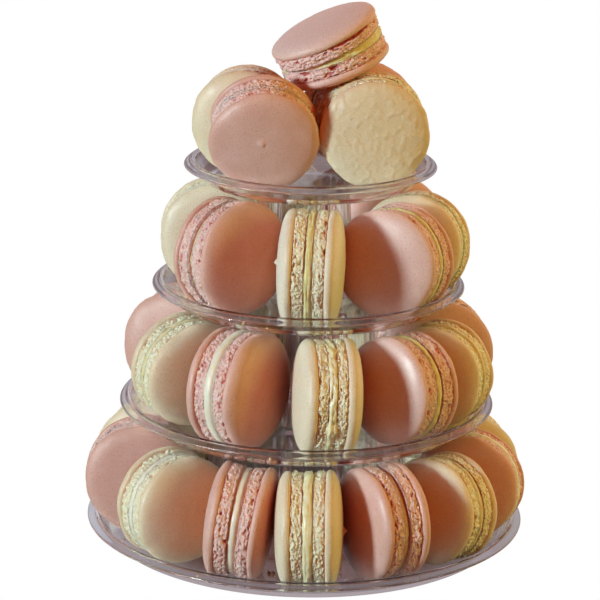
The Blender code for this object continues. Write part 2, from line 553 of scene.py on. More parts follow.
@dataclass(frozen=True)
class FootFinish:
    """The porous frill under a shell: pale crumb, pores deeper in colour and in painted shade."""
    name: str
    crumb: Colour
    warm: Colour
    pore_and_shade: Colour
    puff_size: float = 0.95 * MM
    froth_size: float = 0.42 * MM

    def material(self) -> bpy.types.Material:
        """Wire the material's nodes.

        Returns:
            The material.
        """
        g = FinishTree(self.name)
        colour = g.mix(g.ramp(g.noise(g.place, 2.4 * MM, 3.0), 0.38, 0.64), self.crumb, self.warm)
        colour = g.mix(g.attribute("paleness") * 0.5, colour, self.crumb)
        bent = g.vector("ADD", g.place, g.scaled(g.drift(g.place, 1.3 * MM, 1.0), 0.7 * MM))
        puffs = g.cells(bent, self.puff_size)
        froth = g.cells(bent, self.froth_size)
        # painted shade: pores, by depth, and crevices between puffs darken towards the pore colour
        depth = g.attribute("pore_and_shade")
        colour = g.mix(g.ramp(puffs, 0.46, 0.80, 0.0, 0.28), colour, self.pore_and_shade)
        colour = g.mix(g.ramp(froth, 0.50, 0.85, 0.0, 0.14), colour, self.pore_and_shade)
        colour = g.mix(g.ramp(depth, 0.14, 0.85), colour, self.pore_and_shade)
        skin = g.bump(g.ramp(puffs, 0.0, 0.8, 1.0, 0.0), 0.30 * MM, 0.8)
        skin = g.bump(g.ramp(froth, 0.0, 0.8, 1.0, 0.0), 0.10 * MM, 0.8, skin)
        return g.set(Base_Color=g.passed_on(colour), Roughness=g.ramp(depth, 0.0, 0.8, 0.55, 0.80),
                     Normal=skin, Specular_IOR_Level=0.40, Subsurface_Weight=0.10,
                     Subsurface_Radius=(1.0, 0.4, 0.25), Subsurface_Scale=1.0 * MM)


@dataclass(frozen=True)
class CreamFinish:
    """The filling: smooth butter cream with soft ridges."""
    name: str
    light: Colour
    dark: Colour

    def material(self) -> bpy.types.Material:
        """Wire the material's nodes.

        Returns:
            The material.
        """
        g = FinishTree(self.name)
        swirl = g.noise(g.place, 2.2 * MM, 4.0)
        colour = g.mix(g.ramp(swirl, 0.35, 0.70), self.light, self.dark)
        return g.set(Base_Color=g.passed_on(colour), Roughness=g.ramp(swirl, 0.3, 0.7, 0.34, 0.52),
                     Normal=g.bump(g.noise(g.place, 0.8 * MM, 3.0), 0.10 * MM, 0.7),
                     Specular_IOR_Level=0.5, Subsurface_Weight=0.12,
                     Subsurface_Radius=(1.0, 0.7, 0.35), Subsurface_Scale=1.2 * MM)


@dataclass(frozen=True)
class CrumbFinish:
    """Dry golden crumbs that fell off the feet."""
    name: str = "golden_crumbs"
    light: Colour = (0.80, 0.60, 0.28)
    dark: Colour = (0.52, 0.28, 0.08)

    def material(self) -> bpy.types.Material:
        """Wire the material's nodes.

        Returns:
            The material.
        """
        g = FinishTree(self.name)
        patch = g.noise(g.place, 1.1 * MM, 3.0)
        return g.set(Base_Color=g.mix(g.ramp(patch, 0.35, 0.65), self.light, self.dark),
                     Roughness=g.ramp(patch, 0.3, 0.7, 0.6, 0.8),
                     Normal=g.bump(g.noise(g.place, 0.3 * MM, 2.0), 0.08 * MM, 0.8))


@dataclass(frozen=True)
class ClearPlasticFinish:
    """Thin clear moulded plastic, faintly smudged, that lets lamps through."""
    name: str = "clear_moulded_plastic"
    tint: Colour = (0.965, 0.966, 0.975)
    shade: Colour = (0.93, 0.93, 0.94)
    let_through: Colour = (0.89, 0.87, 0.87)
    most_mirrorings: float = 2.5
    most_surfaces: float = 8.5

    def material(self) -> bpy.types.Material:
        """Wire the material's nodes.

        Returns:
            The material.
        """
        g = FinishTree(self.name)
        smudge = g.noise(g.place, 9.0 * MM, 4.0)
        g.set(Base_Color=g.mix(g.ramp(smudge, 0.4, 0.7), self.tint, self.shade),
              Roughness=g.ramp(smudge, 0.45, 0.75, 0.015, 0.06),
              Normal=g.bump(g.noise(g.place, 14.0 * MM, 1.0), 0.25 * MM, 0.5),
              Transmission_Weight=1.0, IOR=1.50)
        # light that has been mirrored many times between the walls goes straight on, because
        # it would otherwise end as a black line
        path = g.node("ShaderNodeLightPath").outputs
        tired = g.math("MAXIMUM",
                       g.math("GREATER_THAN", path["Glossy Depth"], self.most_mirrorings),
                       g.math("GREATER_THAN", path["Ray Depth"], self.most_surfaces))
        g.blend(g.math("MAXIMUM", path["Is Shadow Ray"], tired),
                g.node("ShaderNodeBsdfTransparent", {"Color": self.let_through}))
        return g.material


class Finishes:
    """Every material of the tower, made once."""

    def __init__(self) -> None:
        """Make them all."""
        self.shell = {
            Flavour.ROSE: ShellFinish(
                "rose_shell", plain=(0.78, 0.50, 0.44), deep=(0.72, 0.42, 0.35),
                pale=(0.86, 0.71, 0.66), baked=(0.80, 0.48, 0.36),
                speck=(0.42, 0.17, 0.12)).material(),
            Flavour.VANILLA: ShellFinish(
                "vanilla_shell", plain=(0.85, 0.76, 0.58), deep=(0.82, 0.70, 0.49),
                pale=(0.88, 0.84, 0.72), baked=(0.82, 0.66, 0.42),
                speck=(0.50, 0.36, 0.16)).material(),
        }
        self.foot = {
            Flavour.ROSE: FootFinish(
                "rose_foot", crumb=(0.94, 0.73, 0.68), warm=(0.93, 0.64, 0.57),
                pore_and_shade=(0.66, 0.17, 0.14)).material(),
            Flavour.VANILLA: FootFinish(
                "vanilla_foot", crumb=(0.94, 0.93, 0.73), warm=(0.93, 0.90, 0.64),
                pore_and_shade=(0.82, 0.71, 0.38)).material(),
        }
        self.cream = {cream: CreamFinish(name, light, dark).material()
                      for cream, name, light, dark in (
            (Cream.BUTTER, "butter_cream", (0.84, 0.76, 0.46), (0.78, 0.66, 0.34)),
            (Cream.WHITE, "white_cream", (0.91, 0.89, 0.76), (0.87, 0.82, 0.63)),
            (Cream.LEMON, "lemon_cream", (0.86, 0.84, 0.46), (0.76, 0.68, 0.26)),
            (Cream.PALE_LEMON, "pale_lemon_cream", (0.91, 0.90, 0.64), (0.85, 0.80, 0.44)))}
        self.crumbs = CrumbFinish().material()
        self.plastic = ClearPlasticFinish().material()


# ------------------------------------------------------------------------------ outlines
def eased(points: Profile, cuts: int = 2) -> Profile:
    """Return a smooth line through points, with `cuts` pieces between each two.

    Args:
        points: radius and height of each point.
        cuts: how many pieces each stretch is cut into.

    Returns:
        The points of a Catmull-Rom curve through them all.
    """
    line: Profile = []
    for i in range(len(points) - 1):
        a, b, c, d = (Vector(points[max(0, min(len(points) - 1, i + k))]) for k in (-1, 0, 1, 2))
        for step in range(cuts):
            t = step / cuts
            spot = 0.5 * (2 * b + (c - a) * t + (2 * a - 5 * b + 4 * c - d) * t ** 2
                          + (3 * b - a - 3 * c + d) * t ** 3)
            line.append((max(0.0, spot.x), spot.y))
    return line + [points[-1]]


def filleted(points: Profile, radius: float, cuts: int = 5) -> Profile:
    """Return a line with every inner corner rounded.

    Args:
        points: radius and height of each corner.
        radius: how far from its corner a rounding starts.
        cuts: how many pieces a rounding has.

    Returns:
        The points of the rounded line.
    """
    line = [points[0]]
    for before, corner, after in zip(points, points[1:], points[2:]):
        a, p, b = Vector(before), Vector(corner), Vector(after)
        start = p + (a - p).normalized() * min(radius, 0.45 * (a - p).length)
        end = p + (b - p).normalized() * min(radius, 0.45 * (b - p).length)
        for step in range(cuts + 1):
            t = step / cuts
            spot = start * (1 - t) ** 2 + p * 2 * t * (1 - t) + end * t ** 2
            line.append((spot.x, spot.y))
    return line + [points[-1]]


def outline_mesh(name: str, *runs: Profile) -> bpy.types.Mesh:
    """Make a mesh of loose points that carries outlines for a tree to turn.

    Args:
        name: the mesh's name.
        *runs: the outlines, one after another.

    Returns:
        The mesh.
    """
    mesh = bpy.data.meshes.new(name)
    mesh.from_pydata([(r, 0.0, z) for run in runs for r, z in run], [], [])
    return mesh


# ------------------------------------------------------------------------------ the plates
@dataclass
class ClearPlate:
    """One clear moulded plate: a tray with a rolled rim on a hollow ribbed hub."""
    number: int
    radius: float
    hub_radius: float | None
    ribs: int
    floor_thickness: float = 1.2 * MM
    wall_thickness: float = 0.8 * MM
    wall_height: float = 7.3 * MM
    crest_height: float = 8.0 * MM
    lip_height: float = 5.4 * MM
    floor_inset: float = 9.5 * MM
    wall_inset: float = 4.6 * MM
    crest_inset: float = 3.4 * MM
    hub_height: float = 47.8 * MM
    hub_taper: float = 1.5 * MM
    rib_depth: float = 0.22 * MM
    corner: float = 3.0 * MM
    wall_rows: int = 12
    steps_per_rib: int = 6
    plain_steps: int = 256

    @property
    def node(self) -> str:
        """The CAD node that this plate stands for."""
        return f"plate_{self.number}"

    def rim(self) -> tuple[Profile, Profile]:
        """Lay out the rolled rim.

        Returns:
            Its under side, going out, and its upper side, coming back in.
        """
        r = self.radius
        wall, floor = self.wall_thickness, self.floor_thickness
        under = [
            (r - self.floor_inset + 0.7 * MM, -floor),
            (r - self.wall_inset + 0.5 * MM, self.wall_height - 1.6 * wall),
            (r - self.crest_inset, self.crest_height - wall),
            (r - 0.9 * MM, self.lip_height),
            (r - 0.5 * MM, self.lip_height - 0.2 * MM),
        ]
        over = [
            (r, self.lip_height + 0.1 * MM),
            (r - 0.5 * MM, self.lip_height + 0.9 * MM),
            (r - self.crest_inset + 0.6 * MM, self.crest_height),
            (r - self.crest_inset - 0.4 * MM, self.crest_height),
            (r - self.wall_inset, self.wall_height - 0.3 * MM),
            (r - self.floor_inset, 0.0),
        ]
        return under, over

    def outline(self) -> Profile:
        """Lay out the whole plate, with its hub if it has one.

        Returns:
            Its outline, from the bottom pole out to the lip and back to the top.
        """
        floor = self.floor_thickness
        under, over = self.rim()
        if self.hub_radius is None:
            return filleted([(0.0, -floor), *under, *over, (0.0, 0.0)], self.corner)
        wide = self.hub_radius + self.hub_taper
        narrow = self.hub_radius - self.hub_taper
        wall = self.wall_thickness
        inside = [(0.0, self.hub_height - wall), (narrow - wall, self.hub_height - wall),
                  (wide - wall, -floor)]
        outside = [(wide, 0.0), (narrow, self.hub_height), (0.0, self.hub_height)]
        line = filleted([*inside, *under, *over, *outside], self.corner)
        # the hub's outer wall is cut into short stretches, so that its ribs fade at both ends
        start = max(i for i in range(len(line) - 1) if line[i + 1][1] - line[i][1] > 5.0 * MM)
        (low_r, low_z), (high_r, high_z) = line[start], line[start + 1]
        cuts = [(low_r + (high_r - low_r) * i / self.wall_rows,
                 low_z + (high_z - low_z) * i / self.wall_rows)
                for i in range(1, self.wall_rows)]
        return line[:start + 1] + cuts + line[start + 1:]

    def tree(self, rows: int) -> ShapeTree:
        """Return the tree that turns the outline and raises the hub's ribs.

        Args:
            rows: how many points the outline has.

        Returns:
            The tree.
        """
        tree = ShapeTree(f"turned_plate_{self.number}")
        steps, ribs = tree.ask("Steps", "Int"), tree.ask("Ribs", "Int")
        depth, top, reach = (tree.ask(name) for name in ("Rib Depth", "Hub Height", "Hub Reach"))
        plastic = tree.ask("Plastic", "Material")
        plate = tree.turned(0, rows, steps)
        x, y, z = tree.split(tree.place())
        flat = tree.joined(x, y)
        out = tree.vector("NORMALIZE", flat)
        wave = tree.math("ABSOLUTE", tree.math(
            "SINE", tree.math("ARCTAN2", y, x) * ribs * 0.5))
        on_hub = tree.ramp(tree.vector("DOT_PRODUCT", tree.normal(), out), 0.5, 0.9) * tree.ramp(
            tree.vector("LENGTH", flat), reach, reach - 0.5 * MM)
        tall = tree.ramp(z, 1.0 * MM, 4.0 * MM) * tree.ramp(z, top, top - 3.0 * MM)
        plate = tree.moved(plate, tree.scaled(out, wave * depth * (on_hub * tall)))
        plate = tree.write(plate, "layer", 0.0, "FACE")
        tree.finish(plate, {0.0: plastic})
        return tree

    def build(self, finishes: Finishes) -> bpy.types.Object:
        """Make the plate where its CAD node is, and put it in the node's place.

        Args:
            finishes: the tower's materials.

        Returns:
            The finished piece.
        """
        low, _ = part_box(self.node)
        line = self.outline()
        steps = self.plain_steps if self.hub_radius is None else self.ribs * self.steps_per_rib
        piece = self.tree(len(line)).bake(
            f"{self.node}_clear", outline_mesh(f"{self.node}_outline", line),
            Matrix.Translation((0.0, 0.0, low.z + self.floor_thickness)),
            Steps=steps, Ribs=self.ribs, Rib_Depth=self.rib_depth, Hub_Height=self.hub_height,
            Hub_Reach=(self.hub_radius or 0.0) + self.hub_taper + 1.5 * MM,
            Plastic=finishes.plastic)
        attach(piece, "root")
        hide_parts(self.node)
        return piece


# ------------------------------------------------------------------------------ the macarons
@dataclass
class Seat:
    """Where a macaron's CAD solid is: its middle, its axis and its size."""
    middle: Vector
    axis: Vector
    radius: float
    thickness: float

    @classmethod
    def of_node(cls, node: str) -> "Seat":
        """Measure a CAD node.

        A turned solid spreads least along its own axis and alike across it. The axis points
        along the ring in the sense of growing azimuth, or up if the macaron lies.

        Args:
            node: the CAD node's name.

        Returns:
            The seat that it holds.
        """
        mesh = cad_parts[node].data
        spots = {tuple(round(c, 7) for c in v.co): v.co.copy() for v in mesh.vertices}
        points = list(spots.values())
        mean = sum(points, Vector()) / len(points)
        spread = Matrix(((0.0,) * 3,) * 3)
        for p in points:
            d = p - mean
            spread += Matrix([[d[i] * d[j] for j in range(3)] for i in range(3)])
        inverse = spread.inverted()
        axis = Vector((0.3, 0.5, 0.7))
        for _ in range(60):
            axis = (inverse @ axis).normalized()
        along = Vector((-mean.y, mean.x, 0.0))
        if axis.dot(UP if abs(axis.z) > 0.7 else along) < 0:
            axis.negate()
        heights = [p.dot(axis) for p in points]
        middle = mean + axis * (0.5 * (max(heights) + min(heights)) - mean.dot(axis))
        radius = max((p - middle - axis * (p - middle).dot(axis)).length for p in points)
        return cls(middle, axis, radius, max(heights) - min(heights))

    def matrix(self) -> Matrix:
        """Work out how a macaron is placed in this seat.

        Returns:
            The matrix, with Z along the axis and X towards the lowest point.
        """
        side = UP.cross(self.axis).normalized()
        down = side.cross(self.axis)
        turn = Matrix((down, self.axis.cross(down), self.axis)).transposed()
        return Matrix.Translation(self.middle) @ turn.to_4x4()


@dataclass(frozen=True)
class Cave:
    """A hollow in a foot: where round the macaron, how high, and its size."""
    angle: float
    height: float
    wide: float = 1.2 * MM
    tall: float = 0.7 * MM
    depth: float = 1.3 * MM


NO_CAVE = Cave(0.0, 0.0, depth=0.0)


@dataclass(frozen=True)
class Bake:
    """How one macaron came out: its filling, its pores, its gloss and its bumps.

    Shares are of the macaron's thickness or radius. Angles go round the macaron's axis, from its
    lowest point. Vectors are in the frame.
    """
    lip: float = 0.243
    filling: float = 0.12
    reach: float = 0.955
    cream: Cream = Cream.BUTTER
    cream_rough: float = 0.5
    ridges: float = 0.5
    overlap: float = 0.15 * MM
    cream_towards: tuple[float, float, float] = (0.0, 0.0, 0.0)
    dollop_at: float = 0.0
    dollop: float = 0.0
    open_towards: tuple[float, float, float] = (0.0, 0.0, 0.0)
    open_angle: float = 0.0
    ruffle: float = 0.34 * MM
    pores: float = 1.0
    caves: tuple[Cave, ...] = ()
    lumps: float = 0.16 * MM
    gloss: float = 0.2
    tone: float = 0.0
    paleness: float = 0.0
    peak: float = 0.0
    peak_side: int = 1
    peak_at: tuple[float, float] = (0.0, 0.0)


SHELL_OUTLINE = eased([
    (0.0, 0.03), (0.80, 0.03), (0.925, -0.015), (0.965, 0.01), (0.988, 0.07), (0.998, 0.15),
    (1.0, 0.25), (0.987, 0.37), (0.95, 0.50), (0.88, 0.635), (0.755, 0.775), (0.53, 0.905),
    (0.30, 0.970), (0.18, 0.989), (0.09, 0.997), (0.0, 1.0)])
FOOT_OUTLINE = eased([
    (0.0, 0.0), (0.88, 0.0), (0.938, 0.01), (0.956, 0.06), (0.963, 0.15), (0.962, 0.25),
    (0.968, 0.36), (0.975, 0.48), (0.978, 0.60), (0.977, 0.72), (0.972, 0.83), (0.962, 0.94),
    (0.93, 1.04), (0.80, 1.06), (0.0, 1.06)])
CREAM_OUTLINE = eased([
    (0.0, -1.0), (0.86, -1.0), (0.955, -0.82), (0.988, -0.5), (0.996, -0.17), (0.996, 0.17),
    (0.988, 0.5), (0.955, 0.82), (0.86, 1.0), (0.0, 1.0)])


@dataclass
class MacaronMould:
    """The tree that shapes every macaron, and the finishes it is given."""
    finishes: Finishes
    shell_steps: int = 96
    foot_steps: int = 300
    cream_steps: int = 150
    cave_count: int = 3
    crumb_size: float = 1.15 * MM
    grain_size: float = 0.62 * MM
    hollow_size: float = 2.6 * MM
    hollow_depth: float = 0.95 * MM
    pit_size: float = 1.3 * MM
    pit_depth: float = 0.60 * MM
    peak_reach: float = 2.4 * MM
    tree: ShapeTree = field(init=False)
    outlines: bpy.types.Mesh = field(init=False)

    def __post_init__(self) -> None:
        """Build the tree once."""
        self.outlines = outline_mesh("macaron_outlines", SHELL_OUTLINE, FOOT_OUTLINE,
                                     CREAM_OUTLINE)
        self.tree = ShapeTree("macaron")
        for name in ("Radius", "Second Radius", "Thickness", "Filling", "Reach", "Foot",
                     "Ruffle", "Pores", "Lumps", "Cream Rough", "Ridges", "Overlap",
                     "Dollop At", "Dollop", "Peak", "Peak Side", "Peak X", "Peak Y", "Tone",
                     "Paleness", "Gloss", "Seed"):
            self.tree.ask(name)
        caves = [f"Cave {number} {what}" for number in range(self.cave_count)
                 for what in ("Place", "Size")]
        for name in ("Open", "Cream Shift", *caves):
            self.tree.ask(name, "Vector")
        for name in ("Shell Finish", "Foot Finish", "Cream Finish"):
            self.tree.ask(name, "Material")
        shape = self.tree.joined_up(self.half(1), self.half(-1), self.filling())
        for attribute in ("Tone", "Paleness", "Gloss", "Lumps"):
            shape = self.tree.write(shape, attribute.lower(), self.given(attribute))
        self.tree.finish(shape, {
            Layer.SHELL.value: self.given("Shell Finish"),
            Layer.FOOT.value: self.given("Foot Finish"),
            Layer.CREAM.value: self.given("Cream Finish"),
        })

    def given(self, name: str) -> Field:
        """Return one of the tree's inputs."""
        return self.tree.given(name)

    def round_place(self) -> tuple[Field, Field, Field, Field]:
        """Measure each point round the macaron's axis.

        Returns:
            The outward direction, the distance from the axis, the height and the angle.
        """
        t = self.tree
        x, y, z = t.split(t.place())
        flat = t.joined(x, y)
        return (t.vector("NORMALIZE", flat), t.vector("LENGTH", flat), z,
                t.math("ARCTAN2", y, x))

    def waves(self, size: float, detail: float, seed: Field, shift: float = 0.0) -> Field:
        """Return noise about zero, in the shape's own place.

        Args:
            size: the size of a lump, in metres.
            detail: how many finer layers are added.
            seed: which of the patterns.
            shift: what is added to the seed.

        Returns:
            The noise, from about -0.5 to 0.5.
        """
        return self.tree.noise(self.tree.place(), size, detail, seed + shift) - 0.5

    def turn_from(self, angle: Field, start: Field) -> Field:
        """Return how far an angle is from another, from minus to plus half a turn."""
        return self.tree.math("WRAP", angle - start, math.pi, -math.pi)

    def half(self, side: int) -> Field:
        """Return one shell with its foot, in place on the filling.

        Args:
            side: 1 for the half on the axis's side, -1 for the other.

        Returns:
            The half's geometry.
        """
        t = self.tree
        radius = self.given("Radius" if side > 0 else "Second Radius")
        seed = self.given("Seed") + 3.7 * (side > 0)
        cream_half = self.given("Filling") * 0.5
        shell_height = self.given("Thickness") * 0.5 - cream_half - self.given("Foot")
        both = t.joined_up(self.shell(side, radius, shell_height, seed),
                           self.foot(side, radius, cream_half, seed))
        over = math.pi if side < 0 else 0.0
        flipped = t.placed(both, (0.0, 0.0, 0.0), (over, 0.0, 0.0))
        return t.placed(flipped, t.joined(z=cream_half * side),
                        t.scaled(self.given("Open"), 0.5 * side))

    def shell(self, side: int, radius: Field, height: Field, seed: Field) -> Field:
        """Return a shell: a low smooth dome with a rounded, slightly uneven edge.

        Args:
            side: the half that is being made.
            radius: the half's radius.
            height: the dome's height above the foot.
            seed: which of the patterns it follows.

        Returns:
            The shell's geometry.
        """
        t = self.tree
        foot = self.given("Foot")
        out, far, high, _ = self.round_place()
        shape = t.turned(0, len(SHELL_OUTLINE), self.shell_steps, radius, height, foot)
        shape = t.write(shape, "rim", far / radius)
        shape = t.write(shape, "layer", Layer.SHELL.value, "FACE")
        relief = self.given("Lumps") * (self.waves(8.0 * MM, 1.0, seed) * 1.6
                                        + self.waves(3.0 * MM, 2.0, seed) * 1.3)
        shape = t.moved(shape, t.scaled(t.normal(), relief))
        # the edge is never quite round, and it hardly ever pushes outwards
        wobble = (self.waves(5.0 * MM, 2.0, seed, 9.0) * (1.0 * MM)
                  + self.waves(16.0 * MM, 0.0, seed, 17.0) * (2.2 * MM))
        wobble = t.math("MINIMUM", wobble - 0.15 * MM, 0.10 * MM)
        edge = t.ramp(far / radius, 0.80, 1.0)
        shape = t.moved(shape, t.scaled(out, wobble * edge))
        # the peak left by the piping nozzle
        x, y, _ = t.split(t.place())
        off = t.vector("LENGTH", t.joined(x - self.given("Peak X"),
                                          y - self.given("Peak Y") * side))
        bump = t.ramp(off, self.peak_reach, 0.0)
        on = t.ramp(self.given("Peak Side") * side, 0.4, 0.6) * t.ramp(
            high, foot, foot + 1.0 * MM)
        return t.moved(shape, t.joined(z=bump * bump * on * self.given("Peak")))

    def cave(self, number: int, side: int, radius: Field, lift: Field) -> Field:
        """Return how deep one of the named caves cuts in here.

        Args:
            number: which cave.
            side: the half that is being made.
            radius: the half's radius.
            lift: how high its foot starts above the macaron's middle.

        Returns:
            The depth in metres.
        """
        t = self.tree
        _, _, high, angle = self.round_place()
        at_angle, at_height, _ = t.split(self.given(f"Cave {number} Place"))
        wide, tall, depth = t.split(self.given(f"Cave {number} Size"))
        across = self.turn_from(angle, at_angle * side) * radius / wide
        along = (high + lift - at_height * side) / tall
        off = t.vector("LENGTH", t.joined(across, along))
        ragged = off + self.waves(1.1 * MM, 2.0, self.given("Seed")) * 1.8
        return t.ramp(ragged, 1.1, 0.75) * depth

    def foot(self, side: int, radius: Field, lift: Field, seed: Field) -> Field:
        """Return a foot: a frill of crumbs with pores, and hollows under the shell's edge.

        Args:
            side: the half that is being made.
            radius: the half's radius.
            lift: how high its foot starts above the macaron's middle.
            seed: which of the patterns it follows.

        Returns:
            The foot's geometry.
        """
        t = self.tree
        tall = self.given("Foot")
        ruffle = self.given("Ruffle")
        out, far, high, _ = self.round_place()
        share = high / tall
        at_edge = t.ramp(far / radius, 0.86, 0.95)
        frill = at_edge * t.ramp(share, 0.0, 0.15, 0.4, 1.0)
        drift = t.drift(t.place(), 1.6 * MM, 2.0, seed)
        bent = t.vector("ADD", t.vector("ADD", t.place(), t.scaled(drift, 0.8 * MM)),
                        t.joined(seed * 0.013, seed * 0.007))
        crumb = t.ramp(t.cells(bent, self.crumb_size), 0.70, 0.10)
        grain = t.ramp(t.cells(bent, self.grain_size), 0.65, 0.10)
        # hollows lie along under the shell's edge, and small pits anywhere
        under_lip = t.ramp(share, 0.40, 0.70) * t.ramp(share, 1.04, 0.92)
        hollow = t.ramp(t.noise(t.vector("MULTIPLY", bent, (1.0, 1.0, 2.2)), self.hollow_size,
                                2.0, seed + 2.0), 0.55, 0.65)
        pit = t.ramp(t.noise(bent, self.pit_size, 1.0, seed + 5.0), 0.60, 0.74)
        dig = t.math("MAXIMUM", hollow * under_lip * self.hollow_depth,
                     pit * self.pit_depth) * self.given("Pores")
        for number in range(self.cave_count):
            dig = t.math("MAXIMUM", dig, self.cave(number, side, radius, lift))
        dig = dig * frill
        # painted shade: the valleys between crumbs are stored with the pores' depth, to be
        # darkened
        crevice_shade = (1.0 - crumb) * 0.14
        shape = t.turned(len(SHELL_OUTLINE), len(FOOT_OUTLINE), self.foot_steps, radius, tall)
        shape = t.write(shape, "pore_and_shade", dig / (1.1 * MM) + crevice_shade)
        shape = t.write(shape, "layer", Layer.FOOT.value, "FACE")
        puffs = ((crumb - 0.55) * 1.9 + (grain - 0.5) * 1.1) * ruffle * frill
        wave = self.waves(5.0 * MM, 1.0, seed, 7.0) * at_edge * (1.3 * MM)
        froth = t.scaled(drift, ruffle * 1.2 * frill)
        return t.moved(shape, t.vector("ADD", froth, t.scaled(out, puffs + wave - dig)))

    def filling(self) -> Field:
        """Shape the cream: a disc with a smeared, ridged edge, pushed a little to one side.

        Returns:
            The cream's geometry.
        """
        t = self.tree
        seed = self.given("Seed")
        reach = self.given("Reach") * self.given("Radius")
        out, far, high, angle = self.round_place()
        shape = t.turned(len(SHELL_OUTLINE) + len(FOOT_OUTLINE), len(CREAM_OUTLINE),
                         self.cream_steps, reach,
                         self.given("Filling") * 0.5 + self.given("Overlap"))
        shape = t.write(shape, "layer", Layer.CREAM.value, "FACE")
        edge = t.ramp(far / reach, 0.85, 0.97)
        torn = self.waves(1.5 * MM, 3.0, seed) * (self.given("Cream Rough") * (2.0 * MM))
        # ridges run round the edge, as a palette knife leaves them
        smear = t.joined(t.math("COSINE", angle) * (7.0 * MM),
                         t.math("SINE", angle) * (7.0 * MM), high * 5.0)
        ridge = (t.noise(smear, 2.4 * MM, 2.0, seed + 4.0) - 0.5) * (
            self.given("Ridges") * (1.9 * MM))
        turn = t.math("ABSOLUTE", self.turn_from(angle, self.given("Dollop At")))
        dollop = t.ramp(turn, 0.16, 0.0) * self.given("Dollop")
        push = self.waves(6.0 * MM, 1.0, seed) * (1.0 * MM) + (torn + (ridge + dollop))
        shape = t.moved(shape, t.scaled(out, push * edge))
        return t.placed(shape, self.given("Cream Shift"))

    def cast(self, node: str, bake: Bake, seed: float, shrink: float) -> bpy.types.Object:
        """Make one macaron in the place of its CAD node.

        Args:
            node: the CAD node's name.
            bake: how it came out.
            seed: which of the patterns its pores and bumps follow.
            shrink: the second shell's size as a share of the first's.

        Returns:
            The finished piece.
        """
        seat = Seat.of_node(node)
        place = seat.matrix()
        inward = place.to_3x3().inverted()
        opening = inward @ Vector(bake.open_towards)
        opening.z = 0.0
        hinge = UP.cross(opening.normalized()) * -math.radians(bake.open_angle)
        flavour = Flavour(node.rsplit("_", 1)[1])
        caves = [*bake.caves, *[NO_CAVE] * self.cave_count][:self.cave_count]
        hollows = {}
        for number, cave in enumerate(caves):
            hollows[f"Cave_{number}_Place"] = Vector((
                math.radians(cave.angle), cave.height * seat.thickness, 0.0))
            hollows[f"Cave_{number}_Size"] = Vector((cave.wide, cave.tall, cave.depth))
        piece = self.tree.bake(
            f"{node}_baked", self.outlines, place,
            Radius=seat.radius, Second_Radius=seat.radius * shrink, Thickness=seat.thickness,
            Filling=bake.filling * seat.thickness, Reach=bake.reach,
            Foot=(bake.lip - 0.5 * bake.filling) * seat.thickness, Ruffle=bake.ruffle,
            Pores=bake.pores, Lumps=bake.lumps, Cream_Rough=bake.cream_rough,
            Ridges=bake.ridges, Overlap=bake.overlap,
            Dollop_At=math.radians(bake.dollop_at), Dollop=bake.dollop,
            Peak=bake.peak, Peak_Side=float(bake.peak_side),
            Peak_X=bake.peak_at[0] * seat.radius, Peak_Y=bake.peak_at[1] * seat.radius,
            Tone=bake.tone, Paleness=bake.paleness, Gloss=bake.gloss, Seed=seed, Open=hinge,
            Cream_Shift=inward @ Vector(bake.cream_towards), **hollows,
            Shell_Finish=self.finishes.shell[flavour], Foot_Finish=self.finishes.foot[flavour],
            Cream_Finish=self.finishes.cream[bake.cream])
        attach(piece, "root")
        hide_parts(node)
        return piece


